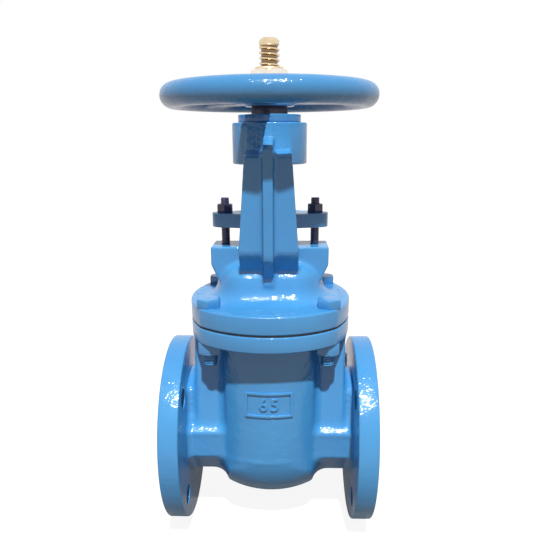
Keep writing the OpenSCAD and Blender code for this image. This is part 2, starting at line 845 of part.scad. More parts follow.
body();
inlet_flange();
outlet_flange();
inlet_seat_ring();
outlet_seat_ring();
bonnet_gasket();
bonnet();
packing();
gland_follower();
gland_flange();
gland_stud_left();
gland_stud_right();
gland_nut_left();
gland_nut_right();
bonnet_bolt_front_left();
bonnet_bolt_front_right();
bonnet_bolt_back_left();
bonnet_bolt_back_right();
bonnet_nut_front_left();
bonnet_nut_front_right();
bonnet_nut_back_left();
bonnet_nut_back_right();
yoke_nut_retainer();
yoke_nut();
handwheel();
handwheel_key();
handwheel_nut();
stem();
wedge();
wedge_facing_inlet();
wedge_facing_outlet();
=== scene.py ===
import math

import bpy
from mathutils import Matrix, Vector


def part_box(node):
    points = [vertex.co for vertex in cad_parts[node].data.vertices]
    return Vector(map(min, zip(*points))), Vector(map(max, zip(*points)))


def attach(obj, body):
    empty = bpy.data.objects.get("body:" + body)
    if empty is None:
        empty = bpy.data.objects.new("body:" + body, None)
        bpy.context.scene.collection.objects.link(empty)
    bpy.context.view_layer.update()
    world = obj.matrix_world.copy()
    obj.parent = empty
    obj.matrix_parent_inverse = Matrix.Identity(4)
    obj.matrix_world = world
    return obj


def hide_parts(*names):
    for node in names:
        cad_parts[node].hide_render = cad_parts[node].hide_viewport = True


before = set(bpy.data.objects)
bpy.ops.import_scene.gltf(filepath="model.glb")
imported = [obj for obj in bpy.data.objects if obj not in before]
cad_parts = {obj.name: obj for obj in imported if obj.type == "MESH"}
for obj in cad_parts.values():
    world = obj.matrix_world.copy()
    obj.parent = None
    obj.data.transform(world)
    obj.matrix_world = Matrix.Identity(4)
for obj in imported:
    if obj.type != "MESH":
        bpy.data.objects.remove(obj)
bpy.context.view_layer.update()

MM = 0.001
scene = bpy.context.scene

# ---- places taken from the frame, in millimetres off the stem's centre line ----

stem_low, stem_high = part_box("stem")
STEM_X = (stem_low.x + stem_high.x) / 2


def span(node, axis):
    """Where a node starts and ends along one axis, in millimetres off the stem's centre line."""
    low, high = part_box(node)
    shift = STEM_X if axis == 0 else 0
    return (low[axis] - shift) / MM, (high[axis] - shift) / MM


def at(x, y, z):
    """A place in the row frame, from millimetres off the stem's centre line."""
    return Vector((STEM_X + x * MM, y * MM, z * MM))


FACE_X = span("outlet_flange", 0)[1]
BACK_X = span("outlet_flange", 0)[0]
FLANGE_R = span("outlet_flange", 1)[1]
JOINT_Z = span("body", 2)[1]
BONNET_Z = span("bonnet", 2)[0]
HEAD_TOP_Z = span("bonnet", 2)[1]
JOINT_HALF_X = span("bonnet", 0)[1]
JOINT_R = span("bonnet", 1)[1]

# ---- tools ----


def clear():
    """Nothing selected, and out of edit mode."""
    if bpy.context.object and bpy.context.object.mode != "OBJECT":
        bpy.ops.object.mode_set(mode="OBJECT")
    bpy.ops.object.select_all(action="DESELECT")


def pick(obj, *others):
    """Selects these objects, with the first one active."""
    clear()
    for other in (obj, *others):
        other.select_set(True)
    bpy.context.view_layer.objects.active = obj
    return obj


def open_mesh(obj, kind="FACE"):
    """Goes into edit mode with nothing selected."""
    pick(obj)
    bpy.ops.object.mode_set(mode="EDIT")
    bpy.ops.mesh.select_mode(type=kind)
    bpy.ops.mesh.select_all(action="DESELECT")


def close_mesh():
    bpy.ops.object.mode_set(mode="OBJECT")


def settle(obj):
    """Puts an object's place and turn into its mesh, and its origin back at zero."""
    pick(obj)
    bpy.ops.object.transform_apply(location=True, rotation=True, scale=True)
    return obj


def finish_with(obj, kind, **settings):
    """Adds one modifier with these settings and applies it."""
    pick(obj)
    modifier = obj.modifiers.new(kind.lower(), kind)
    for name, value in settings.items():
        setattr(modifier, name, value)
    bpy.ops.object.modifier_apply(modifier=modifier.name)
    return obj


def tidy_mesh(obj, gap=0.000005):
    """Merges points that lie on each other and turns every face outward."""
    open_mesh(obj)
    bpy.ops.mesh.select_all(action="SELECT")
    bpy.ops.mesh.remove_doubles(threshold=gap)
    bpy.ops.mesh.normals_make_consistent(inside=False)
    close_mesh()
    return obj


def join(obj, *others):
    """Makes one object of several."""
    pick(obj, *others)
    bpy.ops.object.join()
    return obj


def boolean(obj, tool, operation):
    """Adds, cuts or keeps with another closed form, which is then gone."""
    finish_with(obj, "BOOLEAN", object=tool, operation=operation, solver="MANIFOLD")
    bpy.data.objects.remove(tool)
    return obj


def cut(obj, *tools):
    for tool in tools:
        boolean(obj, tool, "DIFFERENCE")
    return obj


def fuse(obj, *tools):
    for tool in tools:
        boolean(obj, tool, "UNION")
    return obj


def keep(obj, *tools):
    for tool in tools:
        boolean(obj, tool, "INTERSECT")
    return obj


def copy_of(obj):
    """A copy with its own mesh."""
    other = obj.copy()
    other.data = obj.data.copy()
    scene.collection.objects.link(other)
    return other


def moved(obj, shift):
    obj.location = shift
    return settle(obj)


def copies_at(obj, shifts):
    """Copies of one finished form, each with its own mesh. The pattern itself is then gone."""
    made = [moved(copy_of(obj), shift) for shift in shifts]
    bpy.data.objects.remove(obj)
    return made


def turned_about(obj, angle, axis, centre):
    """Turns an object about an axis through a place, and puts the turn into its mesh."""
    obj.matrix_world = (
        Matrix.Translation(centre) @ Matrix.Rotation(angle, 4, axis) @ Matrix.Translation(-centre)
    )
    return settle(obj)


# ---- stock forms ----


def rod(radius, start, end, sides=96):
    """A closed round bar between two places."""
    clear()
    run = end - start
    bpy.ops.mesh.primitive_cylinder_add(
        vertices=sides, radius=radius * MM, depth=run.length, location=(start + end) / 2,
        rotation=run.to_track_quat("Z", "Y").to_euler())
    return settle(bpy.context.object)


def block(low, high):
    """A rectangular block between two corners."""
    clear()
    bpy.ops.mesh.primitive_cube_add(size=1, location=(low + high) / 2, scale=high - low)
    return settle(bpy.context.object)


def line_through(points):
    """Draws a line point by point."""
    clear()
    bpy.ops.mesh.primitive_plane_add(size=MM)
    obj = bpy.context.object
    bpy.ops.object.mode_set(mode="EDIT")
    bpy.ops.mesh.select_mode(type="VERT")
    bpy.ops.mesh.select_all(action="SELECT")
    bpy.ops.mesh.merge(type="CENTER")
    bpy.ops.transform.translate(value=points[0])
    for before, after in zip(points, points[1:]):
        bpy.ops.mesh.extrude_vertices_move(TRANSFORM_OT_translate={"value": after - before})
    return obj


def plate(points, run):
    """A flat outline, filled and pulled out along run."""
    obj = line_through(points)
    bpy.ops.mesh.select_all(action="SELECT")
    bpy.ops.mesh.edge_face_add()
    bpy.ops.mesh.extrude_region_move(TRANSFORM_OT_translate={"value": run})
    close_mesh()
    return tidy_mesh(obj)


def plate_up(outline, low, high):
    """A plate drawn in plan, from one height to another."""
    return plate([at(x, y, low) for x, y in outline], Vector((0, 0, (high - low) * MM)))


def plate_along_x(outline, low, high):
    """A plate drawn as (y, z) and pulled out along the pipe."""
    return plate([at(low, y, z) for y, z in outline], Vector(((high - low) * MM, 0, 0)))


def plate_along_y(outline, low, high):
    """A plate drawn as (x, z) and pulled out from front to back."""
    return plate([at(x, low, z) for x, z in outline], Vector((0, (high - low) * MM, 0)))


def turned(profile, steps=96):
    """A form turned about the stem's line from a profile of (radius, height)."""
    obj = line_through([at(r, 0, z) for r, z in profile])
    bpy.ops.mesh.select_all(action="SELECT")
    bpy.ops.mesh.spin(steps=steps, angle=2 * math.pi, center=at(0, 0, 0), axis=(0, 0, 1))
    close_mesh()
    return tidy_mesh(obj)


def widened(obj, factor):
    """Stretches a form along the pipe, about the stem's line."""
    open_mesh(obj)
    bpy.ops.mesh.select_all(action="SELECT")
    bpy.ops.transform.resize(value=(factor, 1, 1), center_override=at(0, 0, 0))
    close_mesh()
    return obj


def arc(cx, cy, radius, start, end, steps=12):
    """Points on an arc, from one angle to another in degrees."""
    return [
        (cx + radius * math.cos(math.radians(start + (end - start) * i / steps)),
         cy + radius * math.sin(math.radians(start + (end - start) * i / steps)))
        for i in range(steps + 1)
    ]


def soft_edges(obj, width, segments=3, angle=30):
    """Rounds every edge sharper than the angle."""
    return finish_with(obj, "BEVEL", width=width * MM, segments=segments, limit_method="ANGLE",
                       angle_limit=math.radians(angle), use_clamp_overlap=True)


def skin(obj, grain):
    """One closed skin round everything, with faces of about this size."""
    return finish_with(obj, "REMESH", mode="VOXEL", voxel_size=grain * MM)


def swell(obj, amount):
    """Pushes the whole surface out, or in if the amount is below zero."""
    return finish_with(obj, "DISPLACE", strength=amount * MM, mid_level=0, direction="NORMAL")


def rub(obj, times, strength=0.5):
    """Rubs the surface down, as fettling and paint do to a casting."""
    return finish_with(obj, "SMOOTH", factor=strength, iterations=times)


def fillet_corners(obj, radius, grain):
    """Fills the inside corners of a casting to a round of about this radius."""
    swell(obj, radius)
    skin(obj, grain)
    swell(obj, -radius)
    skin(obj, grain)
    return obj


def thin_out(obj, most):
    """Takes faces away where the surface is plain, down to this many triangles."""
    count = sum(len(p.vertices) - 2 for p in obj.data.polygons)
    if count > most:
        finish_with(obj, "DECIMATE", ratio=most / count)
    return obj


def shade(obj, angle=40):
    pick(obj)
    bpy.ops.object.shade_smooth_by_angle(angle=math.radians(angle))
    return obj


def hand_over(obj, name, material, body, nodes):
    """Names a finished piece, gives it its finish and puts it in place of its CAD nodes."""
    obj.name = name
    obj.data.name = name
    obj.data.materials.clear()
    obj.data.materials.append(material)
    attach(obj, body)
    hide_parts(*nodes)
    return obj


# ---- finishes ----


class Finish:
    """A material under construction: one shader and the nodes that feed it."""

    def __init__(self, name):
        self.material = bpy.data.materials.new(name)
        self.material.use_nodes = True
        self.tree = self.material.node_tree
        self.shader = self.tree.nodes["Principled BSDF"]
        self.place = self.tree.nodes.new("ShaderNodeTexCoord").outputs["Object"]

    def node(self, kind, **inputs):
        made = self.tree.nodes.new(kind)
        for name, value in inputs.items():
            socket = made.inputs[name.replace("_", " ")]
            if isinstance(value, bpy.types.NodeSocket):
                self.tree.links.new(value, socket)
            else:
                socket.default_value = value
        return made

    def noise(self, scale, detail=2.0, roughness=0.5):
        made = self.node("ShaderNodeTexNoise", Vector=self.place, Scale=scale, Detail=detail,
                         Roughness=roughness)
        return made.outputs["Fac"]

    def ramp(self, value, stops):
        made = self.tree.nodes.new("ShaderNodeValToRGB")
        self.tree.links.new(value, made.inputs["Fac"])
        steps = made.color_ramp.elements
        while len(steps) < len(stops):
            steps.new(0.5)
        for step, (position, colour) in zip(steps, stops):
            step.position = position
            step.color = (*colour, 1) if len(colour) == 3 else colour
        return made.outputs["Color"]

    def bump(self, height, distance, strength=1.0, over=None):
        made = self.node("ShaderNodeBump", Height=height, Distance=distance, Strength=strength)
        if over is not None:
            self.tree.links.new(over, made.inputs["Normal"])
        return made.outputs["Normal"]

    def feed(self, socket, value):
        target = self.shader.inputs[socket]
        if isinstance(value, bpy.types.NodeSocket):
            self.tree.links.new(value, target)
        else:
            target.default_value = value


def grey(value):
    return (value, value, value)


def enamel(name, light, dark, rough=(0.30, 0.42), peel=0.00055, waves=0.0006):
    """Thick gloss enamel over a sand casting: orange peel, slow waves and a little colour drift."""
    f = Finish(name)
    f.feed("Base Color", f.ramp(f.noise(14, 3), [(0.3, dark), (0.7, light)]))
    f.feed("Roughness", f.ramp(f.noise(60, 3), [(0.3, grey(rough[0])), (0.7, grey(rough[1]))]))
    slow = f.bump(f.noise(55, 2), waves)
    fine = f.bump(f.noise(430, 1), peel, over=f.bump(f.noise(160, 1), peel, over=slow))
    f.feed("Normal", slow)
    f.feed("Coat Normal", fine)
    f.feed("Specular IOR Level", 0.1)
    f.feed("Coat Weight", 0.45)
    f.feed("Coat Roughness", 0.10)
    f.feed("Coat IOR", 1.75)
    return f.material


def bright_metal(name, light, dark, rough=(0.16, 0.30), grain=0.00002, painted_shade=None):
    """Machined metal: fine turning marks and slight tarnish, and optionally painted shade: a dark tint near
    the stem's line, up to a height.
    """
    f = Finish(name)
    f.feed("Metallic", 1.0)
    colour = f.ramp(f.noise(180, 4, 0.6), [(0.35, dark), (0.65, light)])
    # Painted shade: inside a given radius of the stem's line and below a given height, the colour turns to
    # a dark tint.
    if painted_shade:
        shade_tint, inner, outer, top = painted_shade
        flat = f.node("ShaderNodeMapping", Vector=f.place, Location=(-STEM_X, 0, 0), Scale=(1, 1, 0))
        reach = f.node("ShaderNodeVectorMath")
        reach.operation = "LENGTH"
        f.tree.links.new(flat.outputs["Vector"], reach.inputs[0])
        height = f.node("ShaderNodeSeparateXYZ", Vector=f.place)
        shade_reach = f.node("ShaderNodeMapRange", Value=reach.outputs["Value"],
                      From_Min=inner * MM, From_Max=outer * MM)
        above = f.node("ShaderNodeMapRange", Value=height.outputs["Z"],
                       From_Min=top * MM, From_Max=(top + 0.4) * MM)
        unshaded = f.node("ShaderNodeMath")
        unshaded.operation = "MAXIMUM"
        f.tree.links.new(shade_reach.outputs["Result"], unshaded.inputs[0])
        f.tree.links.new(above.outputs["Result"], unshaded.inputs[1])
        mix = f.tree.nodes.new("ShaderNodeMix")
        mix.data_type = "RGBA"
        f.tree.links.new(unshaded.outputs["Value"], mix.inputs["Factor"])
        mix.inputs["A"].default_value = (*shade_tint, 1)
        f.tree.links.new(colour, mix.inputs["B"])
        colour = mix.outputs["Result"]
    f.feed("Base Color", colour)
    f.feed("Roughness", f.ramp(f.noise(500, 3), [(0.3, grey(rough[0])), (0.7, grey(rough[1]))]))
    stretch = f.node("ShaderNodeMapping", Vector=f.place, Scale=(60, 60, 2600))
    marks = f.node("ShaderNodeTexNoise", Vector=stretch.outputs["Vector"], Scale=1.0, Detail=2.0)
    f.feed("Normal", f.bump(marks.outputs["Fac"], grain))
    return f.material


def dull_iron(name, light, dark):
    """Bare cast iron."""
    f = Finish(name)
    f.feed("Metallic", 0.6)
    f.feed("Base Color", f.ramp(f.noise(220, 5, 0.65), [(0.3, dark), (0.7, light)]))
    f.feed("Roughness", f.ramp(f.noise(300, 4), [(0.3, grey(0.5)), (0.7, grey(0.75))]))
    f.feed("Normal", f.bump(f.noise(700, 4), 0.00015))
    return f.material


def soft_seal(name, light, dark, scale):
    """Graphite rope or sheet."""
    f = Finish(name)
    f.feed("Base Color", f.ramp(f.noise(scale, 4), [(0.3, dark), (0.7, light)]))
    f.feed("Roughness", f.ramp(f.noise(scale * 2, 2), [(0.3, grey(0.6)), (0.7, grey(0.85))]))
    f.feed("Normal", f.bump(f.noise(scale * 3, 3), 0.0002))
    return f.material


BLUE = (0.060, 0.300, 0.610)
DEEP_BLUE = (0.050, 0.258, 0.555)
WHEEL_BLUE = (0.050, 0.255, 0.530)
DEEP_WHEEL_BLUE = (0.042, 0.225, 0.490)
body_paint = enamel("body_paint", BLUE, DEEP_BLUE)
bonnet_paint = enamel("bonnet_paint", BLUE, DEEP_BLUE)
gland_paint = enamel("gland_paint", BLUE, DEEP_BLUE)
wheel_paint = enamel("wheel_paint", WHEEL_BLUE, DEEP_WHEEL_BLUE)
bolt_paint = enamel("bolt_paint", BLUE, DEEP_BLUE, peel=0.00015, waves=0.0001)
retainer_paint = enamel("retainer_paint", WHEEL_BLUE, DEEP_WHEEL_BLUE)
stud_paint = enamel("stud_paint", (0.070, 0.082, 0.170), (0.048, 0.058, 0.130), rough=(0.3, 0.5),
                    peel=0.0001)
BRASS = (0.86, 0.71, 0.50)
DEEP_BRASS = (0.72, 0.56, 0.36)
# Painted shade: the stem's thread roots, within 6.9 to 8 mm of its line, are darkened below its plain end.
stem_brass = bright_metal("stem_brass", BRASS, DEEP_BRASS,
                          painted_shade=((0.30, 0.20, 0.11), 6.9, 8.0, span("stem", 2)[1] - 5))
# Painted shade: the yoke nut below the wheel nut is coloured near black, where the wheel above shades it.
yoke_nut_brass = bright_metal("yoke_nut_brass", BRASS, DEEP_BRASS, rough=(0.34, 0.48),
                              painted_shade=((0.075, 0.072, 0.085), 60, 61, span("handwheel_nut", 2)[0]))
# Painted highlight: the wheel nut's colour is made near white to stand in for the bright reflection on it.
wheel_nut_brass = bright_metal("wheel_nut_brass", (0.94, 0.88, 0.80), (0.86, 0.78, 0.68))
gland_brass = bright_metal("gland_brass", BRASS, DEEP_BRASS)
seat_brass = bright_metal("seat_brass", BRASS, DEEP_BRASS)
facing_brass = bright_metal("facing_brass", BRASS, DEEP_BRASS)
key_steel = bright_metal("key_steel", (0.62, 0.62, 0.63), (0.48, 0.48, 0.50))
wedge_iron = dull_iron("wedge_iron", (0.20, 0.20, 0.21), (0.11, 0.11, 0.12))
gasket_sheet = soft_seal("gasket_sheet", (0.020, 0.022, 0.028), (0.010, 0.011, 0.015), 160)
packing_rope = soft_seal("packing_rope", (0.035, 0.035, 0.038), (0.018, 0.018, 0.020), 260)

# ---- screw threads, nuts and bolts ----


def end_cap(obj, chosen):
    """Closes one open end of a thread with a fan of faces."""
    open_mesh(obj, "VERT")
    close_mesh()
    for vertex in obj.data.vertices:
        vertex.select = vertex.index in chosen
    bpy.ops.object.mode_set(mode="EDIT")
    bpy.ops.mesh.extrude_region_move()
    bpy.ops.mesh.merge(type="CENTER")
    close_mesh()


def thread(radius, depth, pitch, start, end, left=False, steps=40):
    """A closed screw thread on the world's upright axis, with spare turns past both ends."""
    spare = 1.5
    crest, root, low = radius, radius - depth, start - spare * pitch
    turns = math.ceil((end - start) / pitch + 2 * spare)
    if left:
        low += turns * pitch
    # Each point is a radius and a share of the pitch.
    tooth = [(root, 0), (root, 0.28), (crest, 0.50), (crest, 0.74), (root, 0.96), (root, 1)]
    obj = line_through([Vector((r * MM, 0, (low + share * pitch) * MM)) for r, share in tooth])
    close_mesh()
    finish_with(obj, "SCREW", axis="Z", angle=2 * math.pi, steps=steps, render_steps=steps,
                iterations=turns, screw_offset=(-pitch if left else pitch) * MM,
                use_merge_vertices=True, merge_threshold=0.000002)
    tidy_mesh(obj, 0.000002)
    open_mesh(obj, "VERT")
    bpy.ops.mesh.select_non_manifold()
    close_mesh()
    middle = (start + end) / 2 * MM
    ends = [v.index for v in obj.data.vertices if v.select]
    top = {i for i in ends if obj.data.vertices[i].co.z > middle}
    bottom = set(ends) - top
    end_cap(obj, top)
    end_cap(obj, bottom)
    return tidy_mesh(obj, 0.000002)


def threaded_rod(radius, depth, pitch, start, end, taper, steps):
    """A threaded rod on the stem's line, with both ends turned down."""
    body = keep(thread(radius, depth, pitch, start, end, steps=steps),
                moved(turned([(0, start), (radius - taper, start), (radius + 0.2, start + taper),
                              (radius + 0.2, end - taper), (radius - taper, end), (0, end)], steps),
                      Vector((-STEM_X, 0, 0))))
    return moved(body, at(0, 0, 0))


def hexagon(across, low, high, corners_off, bore=0):
    """A hexagon nut or bolt head on the stem's line, with its corners turned off below or above."""
    drop, wide, corner = across / 11, across * 0.64, across / 2 - 0.3
    clear()
    bpy.ops.mesh.primitive_cylinder_add(
        vertices=6, radius=across / math.sqrt(3) * MM, depth=(high - low) * MM,
        location=at(0, 0, (low + high) / 2))
    nut = settle(bpy.context.object)
    profile = [(0, low)]
    profile += [(corner, low), (wide, low + drop)] if "low" in corners_off else [(wide, low)]
    profile += [(wide, high - drop), (corner, high)] if "high" in corners_off else [(wide, high)]
    profile += [(0, high)]
    keep(nut, turned(profile, 64))
    if bore:
        cut(nut, rod(bore, at(0, 0, low - 1), at(0, 0, high + 1), 64))
    return soft_edges(nut, 0.45, 2, 20)


def centre_of(node):
    """Where a node stands on the plan, in millimetres off the stem's centre line."""
    (x0, x1), (y0, y1) = span(node, 0), span(node, 1)
    return (x0 + x1) / 2, (y0 + y1) / 2


# ---- body casting ----

CHEST_HALF_X, CHEST_HALF_Y = 41, 57
CHEST_BOW, CHEST_CORNER = 66, 10
BOWL_DROP, BOWL_STRETCH = 64, 1.28
NECK_R, PORT_R = 42, 32.5
SHOULDER_HALF_X, SHOULDER_TOP_Y = 68.75, 22
CREASE_Y, CREASE_Z, CHIN_Z, LEDGE = 42, 12, -13, 5
JOINT_T, JOINT_SIDE_R = 14, 110
WALL = 9
RUN_GAP = 0.03
GRAIN, FINE_GRAIN = 1.0, 0.8
ROOT_FILLET, WEB_FILLET, FLANGE_FILLET, ARM_FILLET = 12, 6, 4, 3
NECK_FOOT_R, NECK_FOOT_L = 60, 12
MOST_FACES = 190000
SEAT_LEAN = 5
SEAT_R, SEAT_BOSS_R = 38.53, 43
SEAT_BACK, BOSS_FRONT = 24.3, 17.3
BOLT_CIRCLE_R, BOLT_HOLE_R = 69.85, 9.5
JOINT_HOLE_R = 6.75
LABEL_HALF_X, LABEL_HALF_Z, LABEL_Z = 21.5, 12, 47
LABEL_BAR, LABEL_RELIEF = 2.4, 1.5
LABEL_GRAIN, NUMBER_GRAIN, NUMBER_H, NUMBER_SWELL = 0.35, 0.25, 17, 0.35


def chest_outline(half_x, half_y, bow, corner):
    """The chest's plan: flat sides, round corners, and a front and back that bow out."""
    hub_y = half_y - bow
    corner_x = half_x - corner
    corner_y = hub_y + math.sqrt((bow - corner) ** 2 - corner_x ** 2)
    lean = math.degrees(math.atan2(corner_y - hub_y, corner_x))
    front = arc(corner_x, corner_y, corner, 0, lean, 8) + arc(0, hub_y, bow, lean, 180 - lean, 32)[1:-1]
    front += arc(-corner_x, corner_y, corner, 180 - lean, 180, 8)
    return front + [(-x, -y) for x, y in front]


def chest_form(inset, top):
    """The chest, over a bowl that is round both ways and wider along the pipe."""
    half_x, half_y, drop = CHEST_HALF_X - inset, CHEST_HALF_Y - inset, BOWL_DROP - inset
    chest = plate_up(chest_outline(half_x, half_y, CHEST_BOW - inset, CHEST_CORNER - inset / 2),
                     -drop - 1, top)
    bowl = turned([(0, -drop)] + arc(0, half_y - drop, half_y, 270, 360, 24)[1:]
                  + [(half_y, top + 1), (0, top + 1)], 128)
    return keep(chest, widened(bowl, BOWL_STRETCH))


def joint_outline(inset=0.0):
    """The plan of both bolted flanges between body and bonnet: a circle with flatter sides."""
    radius, side_r = JOINT_R - inset, JOINT_SIDE_R - inset
    hub = JOINT_SIDE_R - JOINT_HALF_X
    meet_x = (side_r ** 2 - radius ** 2 - hub ** 2) / (2 * hub)
    end = math.degrees(math.acos(meet_x / radius))
    side_end = math.degrees(math.acos((meet_x + hub) / side_r))
    return (arc(-hub, 0, side_r, -side_end, side_end, 40) + arc(0, 0, radius, end, 180 - end, 40)[1:-1]
            + arc(hub, 0, side_r, 180 - side_end, 180 + side_end, 40)
            + arc(0, 0, radius, 180 + end, 360 - end, 40)[1:-1])


def neck_outline(top):
    """The section of the necks: round below, flat-sided, with a ledge, and sloping in above it."""
    ledge_y, ledge_z = CREASE_Y - LEDGE, CREASE_Z + LEDGE / 3
    slope = (ledge_y - SHOULDER_TOP_Y) / (JOINT_Z - JOINT_T - ledge_z)
    top_y = ledge_y - slope * (top - ledge_z)
    return (arc(0, 0, NECK_R, 240, 300, 24)
            + [(CREASE_Y, CHIN_Z), (CREASE_Y, CREASE_Z), (ledge_y, ledge_z), (top_y, top), (-top_y, top),
               (-ledge_y, ledge_z), (-CREASE_Y, CREASE_Z), (-CREASE_Y, CHIN_Z)])


def pipe_flanges():
    """Both pipe flanges: a disc with its edges broken, and its copy at the other end."""
    disc = soft_edges(rod(FLANGE_R, at(BACK_X, 0, 0), at(FACE_X, 0, 0), 160), 1.4, 4)
    return copies_at(disc, [Vector((0, 0, 0)), Vector((-(BACK_X + FACE_X) * MM, 0, 0))])


def seat_bore(side, radius, start, end):
    """A bore square to one seat."""
    lean = Matrix.Rotation(math.radians(SEAT_LEAN if side > 0 else -SEAT_LEAN), 3, "Y")
    first, last = lean @ Vector((side * start, 0, 0)), lean @ Vector((side * end, 0, 0))
    return rod(radius, at(*first), at(*last))


def raised_label():
    """The raised frame with the valve's nominal size, wrapped onto the chest's front."""
    x, z, bar = LABEL_HALF_X, LABEL_HALF_Z, LABEL_BAR
    front = -CHEST_HALF_Y - 4
    outer = [(-x, LABEL_Z - z), (x, LABEL_Z - z), (x, LABEL_Z + z), (-x, LABEL_Z + z)]
    inner = [(-x + bar, LABEL_Z - z + bar), (x - bar, LABEL_Z - z + bar),
             (x - bar, LABEL_Z + z - bar), (-x + bar, LABEL_Z + z - bar)]
    label = cut(plate_along_y(outer, front, front + 20), plate_along_y(inner, front - 1, front + 21))
    clear()
    bpy.ops.object.text_add()
    number = bpy.context.object
    number.data.body = "65"
    number.data.align_x, number.data.align_y = "CENTER", "CENTER"
    number.data.size = NUMBER_H * MM
    number.data.space_character = 1.2
    bpy.ops.object.convert(target="MESH")
    number.rotation_euler = (math.pi / 2, 0, 0)
    number.location = at(0, front, LABEL_Z)
    settle(number)
    open_mesh(number)
    bpy.ops.mesh.select_all(action="SELECT")
    bpy.ops.mesh.remove_doubles(threshold=0.00001)
    bpy.ops.mesh.extrude_region_move(TRANSFORM_OT_translate={"value": (0, 18 * MM, 0)})
    close_mesh()
    fuse(label, rub(swell(skin(tidy_mesh(number), NUMBER_GRAIN), NUMBER_SWELL), 2))
    grown = chest_form(-LABEL_RELIEF, JOINT_Z - 4)
    return keep(label, grown)


def make_body():
    casting = plate_along_x(neck_outline(CREASE_Z + 6), -BACK_X - 2, BACK_X + 2)
    join(casting, plate_along_x(neck_outline(JOINT_Z - JOINT_T + 2), -SHOULDER_HALF_X, SHOULDER_HALF_X),
         keep(chest_form(0, JOINT_Z - 4), block(at(-60, -80, -80), at(60, 80, -10))))
    skin(casting, GRAIN)
    fillet_corners(casting, ROOT_FILLET, GRAIN)
    join(casting, chest_form(0, JOINT_Z - 4))
    skin(casting, GRAIN)
    fillet_corners(casting, WEB_FILLET, GRAIN)
    rub(casting, 2)
    join(casting, plate_up(joint_outline(2.5), JOINT_Z - JOINT_T + 0.1, JOINT_Z - 1),
         rod(NECK_FOOT_R, at(-BACK_X - NECK_FOOT_L, 0, 0), at(-BACK_X - 0.1, 0, 0)),
         rod(NECK_FOOT_R, at(BACK_X + 0.1, 0, 0), at(BACK_X + NECK_FOOT_L, 0, 0)))
    skin(casting, GRAIN)
    fillet_corners(casting, FLANGE_FILLET, GRAIN)
    rub(casting, 3)
    fuse(casting, *pipe_flanges(),
         soft_edges(plate_up(joint_outline(), JOINT_Z - JOINT_T, JOINT_Z), 1.2, 3))
    fuse(casting, rub(skin(raised_label(), LABEL_GRAIN), 3))
    inside = chest_form(WALL, JOINT_Z + 2)
    cut(inside, *[seat_bore(side, SEAT_BOSS_R, BOSS_FRONT, 60) for side in (-1, 1)])
    cut(casting, inside)
    cut(casting, rod(PORT_R, at(-FACE_X - 1, 0, 0), at(FACE_X + 1, 0, 0), 128))
    cut(casting, *[seat_bore(side, SEAT_R, 0, SEAT_BACK) for side in (-1, 1)])
    for side in (-1, 1):
        for angle in (45, 135, 225, 315):
            y = BOLT_CIRCLE_R * math.cos(math.radians(angle))
            z = BOLT_CIRCLE_R * math.sin(math.radians(angle))
            cut(casting, rod(BOLT_HOLE_R, at(side * (BACK_X - 3), y, z), at(side * (FACE_X + 1), y, z), 64))
    for place in BONNET_BOLTS:
        x, y = centre_of("bonnet_nut_" + place)
        cut(casting, rod(JOINT_HOLE_R, at(x, y, JOINT_Z - 20), at(x, y, JOINT_Z + 1), 48))
    thin_out(casting, MOST_FACES)
    shade(casting)
    return hand_over(casting, "body_casting", body_paint, "valve",
                     ["body", "inlet_flange", "outlet_flange"])


BONNET_BOLTS = ["front_left", "front_right", "back_left", "back_right"]
make_body()

# ---- bonnet casting ----

DECK_T = 16
DECK_Z = BONNET_Z + DECK_T
DOME_Z, DOME_SPREAD, DOME_END = DECK_Z - 3, 19, 0.78
CAVITY_R, CAVITY_ROOF = 33, 24
BOX_R, BOX_TOP_Z = 24, 181
EAR_HALF_Y = 19
ARM_HALF_X, ARM_TOP_HALF_X, ARM_BEND_Z, ARM_TOP_Z = 25.25, 19, 180.5, 262.7
RIB_HALF_X = 4.25
HEAD_R, HEAD_Z = 31.9, 250.7
BOLT_SPOT_H = 12
PACKING_R, PACKING_Z = span("packing", 1)[1] + RUN_GAP, span("packing", 2)[0]
STEM_BORE_R = 8.9
JOURNAL_R, COLLAR_R, COLLAR_Z = 19.2, 24.5, 264.3
STUD_X, STUD_R = 40, 4

DOME_OUTLINE = [(47, DECK_Z - 4), (47, DECK_Z - 1), (41.5, DECK_Z + 4), (38, DECK_Z + 10),
                (36.4, DECK_Z + 17), (35, DECK_Z + 22), (31.5, DECK_Z + 27), (25, DECK_Z + 31.5),
                (14, DECK_Z + 35)]
EAR_OUTLINE = [(52, 181), (52, 165), (42, 143), (26, 137), (-26, 137), (-42, 143), (-52, 165), (-52, 181)]
ARM_OUTLINE = [(26.9, 262.7), (42, 259.2), (44.3, 257.9), (45, 255.5), (45, 181.5), (44.2, 178.5),
               (42.6, 175.6), (40.2, 172.6), (29.5, 160), (21, 152.5), (20, 146), (14, 146),
               (14, 160), (23, 160.5), (36, 183.5), (36, 242.7), (26.9, 251.7)]
RIB_OUTLINE = [(26.9, 272.7), (31.9, 272.2), (52, 264.2), (52, 178), (51, 174), (38, 158), (38.2, 151),
               (36, 142), (14, 142),
               (14, 158), (38, 180.5), (38, 250.7), (26.9, 256)]


def arms():
    """The back yoke arm with its rib, tapering to the head, and its copy in front."""
    plate_form = plate_along_x(ARM_OUTLINE, -ARM_HALF_X, ARM_HALF_X)
    taper = [(-ARM_HALF_X, 120), (ARM_HALF_X, 120), (ARM_HALF_X, ARM_BEND_Z), (ARM_TOP_HALF_X, ARM_TOP_Z),
             (ARM_TOP_HALF_X, 290), (-ARM_TOP_HALF_X, 290), (-ARM_TOP_HALF_X, ARM_TOP_Z),
             (-ARM_HALF_X, ARM_BEND_Z)]
    keep(plate_form, plate_along_y(taper, -80, 80))
    back = join(plate_form, plate_along_x(RIB_OUTLINE, -RIB_HALF_X, RIB_HALF_X))
    return back, turned_about(copy_of(back), math.pi, "Z", at(0, 0, 0))


